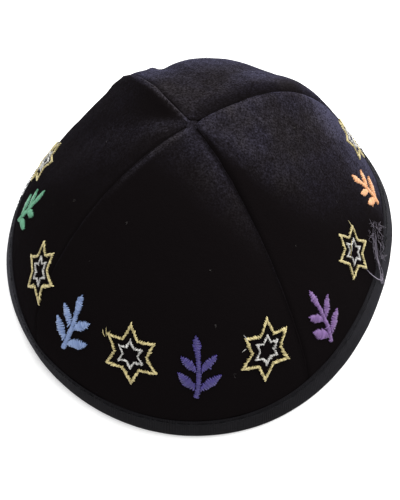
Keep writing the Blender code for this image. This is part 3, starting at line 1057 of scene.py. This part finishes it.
# %% [markdown]
# ## Satin stitch
# A machine fills each bar of a motif with threads laid side by side across it, from one edge to the
# other. The top faces of a motif's solid are such bars. Each face has two long edges on the motif's
# outline, and the threads are laid between them, each a little off the last, so the outline turns ragged
# as it is on the real cap. Both ends dive into the velvet.

# %% Satin stitch
SATIN_PITCH = 0.00042
SATIN_WIDTH = 0.00050
DIVE = 0.0013      # how far a thread's ends go down from the top of the solid
RAGGED = 0.00026   # how unevenly its ends fall
STRAY = (0.0003, 0.0008)    # how far a stray end sticks out
SHOULDER = 0.00022    # how far a thread has gone down a tenth of the way in
SHORTEST = 0.0002
DRIFT_SCALE = 420.0
FACING_OUT = 0.6
HANDS = {
    # kind of motif: how far its lines drift, chance of a stray end, how far a thread's middle lies below
    # the top of the solid, how much it falls short of the bar's width
    "star": (0.00032, 0.05, 0.00050, 0.00036),
    "sprig": (0.00022, 0.020, 0.00048, 0.00036),
}


def top_bars(piece):
    """The top faces of a motif: corners in order, so that the first two and last two are the outline."""
    mesh = bmesh.new()
    mesh.from_mesh(piece.data)
    centre = Vector(CAP_MIDDLE)
    tops = [
        face for face in mesh.faces
        if face.normal.dot((face.calc_center_median() - centre).normalized()) > FACING_OUT
    ]
    chosen = set(tops)
    bars = []
    for face in tops:
        corners = [loop.vert.co.copy() for loop in face.loops]
        inner = [sum(other in chosen for other in loop.edge.link_faces) == 2 for loop in face.loops]
        if len(corners) == 3:
            corners.append(corners[-1].copy())
            inner.append(inner[-1])
        free_first = (not inner[0]) + (not inner[2])
        free_second = (not inner[1]) + (not inner[3])
        if free_first == free_second:
            rise_first = abs((corners[1] - corners[0]).normalized().z) if corners[1] != corners[0] else 0
            rise_second = abs((corners[2] - corners[1]).normalized().z) if corners[2] != corners[1] else 0
            swap = rise_second > rise_first
        else:
            swap = free_second > free_first
        if swap:
            corners = corners[1:] + corners[:1]
        bars.append((corners, face.normal.copy()))
    mesh.free()
    return bars


def fill(work, corners, up, dice, drift, stray, sink, tuck):
    """Lay the threads of one bar, between its first and its third side.

    The whole line drifts a little from side to side, and now and then a stray end sticks out."""
    first, second, third, fourth = corners
    length = ((second - first).length + (third - fourth).length) / 2
    number = max(2, round(length / SATIN_PITCH))
    for index in range(number):
        share = (index + 0.5) / number
        lean = 0.35 / number * (1 if index % 2 else -1)
        start = first.lerp(second, min(max(share + lean, 0), 1))
        end = fourth.lerp(third, min(max(share - lean, 0), 1))
        across = end - start
        span = across.length
        if span < SHORTEST:
            continue
        across = across / span
        ragged = min(RAGGED, span * 0.2)
        middle = (start + end) / 2
        aside = across * drift * wander.noise(middle * DRIFT_SCALE)
        start = start + across * (tuck * 0.5 + dice.uniform(-ragged, ragged)) + aside
        end = end - across * (tuck * 0.5 + dice.uniform(-ragged, ragged)) + aside
        if dice.uniform() < stray:
            start = start - across * dice.uniform(*STRAY)
        if dice.uniform() < stray:
            end = end + across * dice.uniform(*STRAY)
        path = [
            start - up * DIVE,
            start + (end - start) * 0.10 - up * (sink + SHOULDER),
            (start + end) / 2 - up * sink,
            end - (end - start) * 0.10 - up * (sink + SHOULDER),
            end - up * DIVE,
        ]
        work.lay([point[:] for point in path], np.array(up[:]), SATIN_WIDTH, dice.uniform(0, 1))


record_slots = {part["node"]: part["material_slot"] for part in frame["record"]["subparts"]}
motifs = [name for name in sorted(frame["nodes"]) if name.startswith(("star_", "sprig_"))]
stitch_total = 0
for number, node in enumerate(motifs):
    bed = merged_copy(node, node + "_bed")
    dice = np.random.default_rng(100 + number)
    work = ThreadWork()
    hand = HANDS[node.split("_")[0]]
    for corners, up in top_bars(bed):
        fill(work, corners, up, dice, *hand)
    slot = record_slots[node]
    stitched = work.piece(node + "_stitches", thread_finishes[slot])
    stitch_total += len(work.points)
    bpy.data.objects.remove(bed)
    finish_piece(stitched, slot, node)
print("motifs:", len(motifs), "satin stitches:", stitch_total)

# %% [markdown]
# ## Loose threads and lint
# A tangle of loose purple thread clings to the cloth beside one star, some stitches have loose ends, and
# velvet gathers lint. Each is a thin round thread drawn along a soft curve through a few places on the
# cloth. A place is an azimuth round the cap, a tilt above its middle and a lift off the cloth.

# %% Strands on the cloth
STRAND_PARTS = 22
STRAND_TAPER = 0.6
FAR_OUT = 0.2
LOOK_AT = Vector(CAP_MIDDLE)

strand_points, strand_faces = thread_form(5, STRAND_PARTS)
cloth_trees = [*panel_trees, surface_tree(binding)]
print("one strand:", len(strand_points), "points,", len(strand_faces), "faces")


def on_cloth(azimuth, tilt, lift):
    """A place on the finished cloth, lifted off it in millimetres."""
    turn, rise = math.radians(azimuth), math.radians(tilt)
    way = Vector((math.cos(turn) * math.cos(rise), math.sin(turn) * math.cos(rise), math.sin(rise)))
    start = LOOK_AT + way * FAR_OUT
    hits = [hit for hit in (tree.ray_cast(start, -way) for tree in cloth_trees) if hit[0] is not None]
    place, normal, index, distance = min(hits, key=lambda hit: hit[3])
    return place + normal * lift * MM


def soft_curve(places, count):
    """Points evenly along a soft curve that passes through all places."""
    ends = [places[0] * 2 - places[1], *places, places[-1] * 2 - places[-2]]
    points = []
    for step in range(count):
        position = step / (count - 1) * (len(places) - 1)
        index = min(int(position), len(places) - 2)
        share = position - index
        before, first, second, after = ends[index:index + 4]
        points.append(0.5 * (
            first * 2 + (second - before) * share
            + (before * 2 - first * 5 + second * 4 - after) * share ** 2
            + (first * 3 - before - second * 3 + after) * share ** 3
        ))
    return points


def lay_strand(work, places, width, shade):
    """One loose thread through these places, round and thinning out to its ends."""
    path = np.array([point[:] for point in soft_curve(places, STRAND_PARTS + 1)])
    ways = np.gradient(path, axis=0)
    ways /= np.linalg.norm(ways, axis=1)[:, None]
    up = path[len(path) // 2] - np.array(LOOK_AT[:])
    up /= np.linalg.norm(up)
    sides = np.cross(up, ways)
    sides /= np.linalg.norm(sides, axis=1)[:, None]
    tops = np.cross(ways, sides)
    rows = np.rint((strand_points[:, 0] + 0.5) * STRAND_PARTS).astype(int)
    taper = 1 - STRAND_TAPER * np.abs(2 * rows / STRAND_PARTS - 1) ** 3
    spots = path[rows] + sides[rows] * (strand_points[:, 1] * width * MM * taper)[:, None]
    spots += tops[rows] * (strand_points[:, 2] * width * MM * taper)[:, None]
    work.add(spots, strand_faces, [shade] * len(spots))


def jittered(dice, route, sway, lift):
    """A route of azimuths and tilts, each place moved a little and lifted between the two heights."""
    places = []
    for azimuth, tilt in route:
        azimuth += dice.uniform(-sway, sway)
        tilt += dice.uniform(-sway, sway) * 0.6
        places.append(on_cloth(azimuth, tilt, dice.uniform(*lift)))
    return places


def strewn(dice, azimuth, tilt, count, wide, high):
    """A route of places strewn round one spot."""
    return [(azimuth + dice.uniform(-wide, wide), tilt + dice.uniform(-high, high)) for place in range(count)]


# %% The tangle
TANGLE_ROUTE = [(356.8, -0.4), (353.8, -1.8), (350.9, -3.8), (348.4, -6.2), (346.4, -8.6)]
TANGLE_STRANDS = 15
LONG_ENDS = [
    # azimuth and tilt of each place, width in mm, shade
    ([(341.4, -3.4), (341.8, -6.2), (343.2, -9.6), (344.9, -11.6), (346.4, -10.4)], 0.28, 1.1),
    ([(350.8, -3.6), (348.9, -7.0), (347.0, -8.8), (345.6, -10.4), (344.8, -12.2)], 0.24, 1.0),
    ([(353.4, -2.0), (351.4, -5.4), (349.2, -7.8), (346.9, -10.4), (344.9, -11.6)], 0.16, 0.7),
]
CURLS = [
    # azimuth, tilt
    (358.0, -2.4), (356.0, -4.5), (359.5, -5.5), (354.0, -6.5), (357.5, 1.0), (352.5, 0.5), (351.0, -8.0),
]
CLUMP = (344.8, -11.4)    # where the ends run together
CLUMP_STRANDS = 8

dice = np.random.default_rng(41)
tangle = ThreadWork()
for number in range(TANGLE_STRANDS):
    first = int(dice.integers(0, 2))
    route = TANGLE_ROUTE[first:first + int(dice.integers(3, 6))]
    places = jittered(dice, route, 1.9, (0.2, 1.6))
    lay_strand(tangle, places, dice.uniform(0.05, 0.11), dice.uniform(0.0, 0.9) ** 2)
for route, width, shade in LONG_ENDS:
    lay_strand(tangle, jittered(dice, route, 0.15, (0.5, 1.1)), width, shade)
for azimuth, tilt in CURLS:
    for number in range(2):
        places = jittered(dice, strewn(dice, azimuth, tilt, 5, 2, 2.2), 0.4, (0.3, 2.0))
        lay_strand(tangle, places, dice.uniform(0.06, 0.10), dice.uniform(0.2, 0.7))
for number in range(CLUMP_STRANDS):
    places = jittered(dice, strewn(dice, *CLUMP, 4, 1.2, 1.4), 0.2, (0.4, 1.2))
    lay_strand(tangle, places, dice.uniform(0.10, 0.18), dice.uniform(0.4, 1.0))
purple = thread_finish("loose_purple", (0.050, 0.042, 0.062), (0.34, 0.30, 0.38), gloss=0.6)
loose = tangle.piece("loose_tangle", purple)
finish_piece(loose, "velvet")
print("tangle strands:", len(tangle.points))

# %% [markdown]
# ## Loose ends of the embroidery
# Here and there a cut end of gold or silver thread was left standing. Each is a strand of its motif's
# own finish. It starts and ends close to the cloth and lifts off it in between.

# %% Loose ends of the embroidery
END_DOWN = 0.35           # lift of an end and of the places between, in millimetres
END_UP = 0.9
LOOSE_ENDS = {
    # name: slot, width in mm, azimuth and tilt of each place
    "loose_gold": ("gold_thread", 0.20, [
        [(241.2, 11.8), (241.0, 12.9), (240.3, 14.1)],
        [(240.8, 11.4), (240.2, 12.3), (239.4, 13.0)],
        [(241.9, 12.2), (242.0, 13.0), (241.9, 13.7)],
        [(344.2, 8.4), (341.6, 8.3), (339.6, 7.2), (337.6, 5.8)],
        [(349.8, 12.8), (348.6, 11.9), (348.2, 10.6), (346.6, 9.8)],
    ]),
    "loose_silver": ("silver_thread", 0.24, [
        [(283.2, 15.4), (283.8, 14.2), (284.1, 12.9)],
        [(282.0, 10.8), (282.6, 11.4), (283.4, 11.2)],
        [(340.6, 6.2), (341.6, 7.6), (342.6, 8.2)],
    ]),
}
for name, (slot, width, routes) in LOOSE_ENDS.items():
    work = ThreadWork()
    for route in routes:
        lifts = [END_DOWN] + [END_UP] * (len(route) - 2) + [END_DOWN]
        places = [on_cloth(azimuth, tilt, lift) for (azimuth, tilt), lift in zip(route, lifts)]
        lay_strand(work, places, width, dice.uniform(0.4, 0.9))
    finish_piece(work.piece(name, thread_finishes[slot]), slot)
    print(name, "strands:", len(work.points))

# %% [markdown]
# ## Lint
# Velvet gathers lint. One to three very thin curled strands lie at each of a few places, those that can
# be seen in the picture first, and then some on the sides that it doesn't show.

# %% Lint
LINT_PLACES = [
    # azimuth, tilt
    (230.2, 46.0), (274.5, 20.3), (352.3, 21.6), (279.4, 4.9), (225.0, 28.4), (198.1, 34.1), (273.7, 37.2),
    (60.0, 30.0), (88.0, 22.0), (118.0, 40.0), (140.0, 15.0), (20.0, 48.0), (318.0, 30.0), (172.0, 50.0),
]
lint = ThreadWork()
for azimuth, tilt in LINT_PLACES:
    for number in range(int(dice.integers(1, 4))):
        size = dice.uniform(0.25, 0.8)
        places = jittered(dice, strewn(dice, azimuth, tilt, 4, size, size), 0.1, (0.1, 0.5))
        lay_strand(lint, places, dice.uniform(0.04, 0.07), dice.uniform(0.1, 0.9))
grey = thread_finish("lint", (0.014, 0.012, 0.012), (0.085, 0.075, 0.070), gloss=0.7)
lint_piece = lint.piece("lint", grey)
finish_piece(lint_piece, "velvet")
print("lint strands:", len(lint.points))
